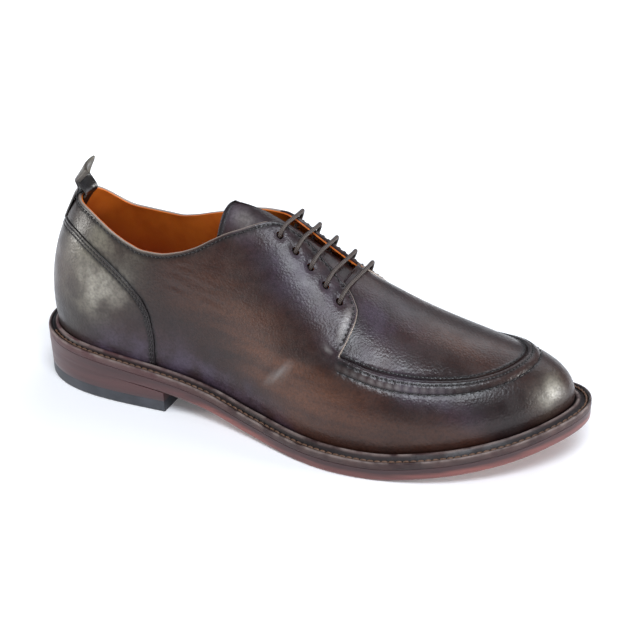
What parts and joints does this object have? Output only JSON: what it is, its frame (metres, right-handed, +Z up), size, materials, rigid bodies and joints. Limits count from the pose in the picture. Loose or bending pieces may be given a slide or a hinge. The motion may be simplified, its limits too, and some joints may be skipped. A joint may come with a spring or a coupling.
{
  "type": "derby shoe",
  "caption": "Right-foot leather derby shoe with apron toe, open lacing, storm welt, leather sole, stacked heel and heel pull loop.",
  "frame": {"origin": "on the floor under the middle of the shoe's bounding box", "axes": "+X to the toe, +Y to the inner side of the foot, +Z up"},
  "size_m": [0.302, 0.111, 0.1212],
  "materials": {
    "upper_leather": "burnished brown leather, semi-gloss",
    "lining_leather": "tan lining leather, matt",
    "tongue_leather": "brown leather, satin",
    "welt_leather": "dark waxed leather",
    "outsole_leather": "mahogany waxed sole edge",
    "heel_leather": "waxed stacked leather",
    "heel_rubber": "dark rubber, matt",
    "lace_cord": "waxed cotton cord"
  },
  "bodies": {
    "root": {"outsole": "outsole_leather", "welt": "welt_leather", "heel": "heel_leather", "heel_top_lift": "heel_rubber", "insole": "lining_leather", "upper": "upper_leather", "tongue": "tongue_leather", "pull_loop": "upper_leather", "lace_bar_1": "lace_cord", "lace_bar_2": "lace_cord", "lace_bar_3": "lace_cord", "lace_bar_4": "lace_cord", "lace_bar_5": "lace_cord"}
  },
  "joints": []
}
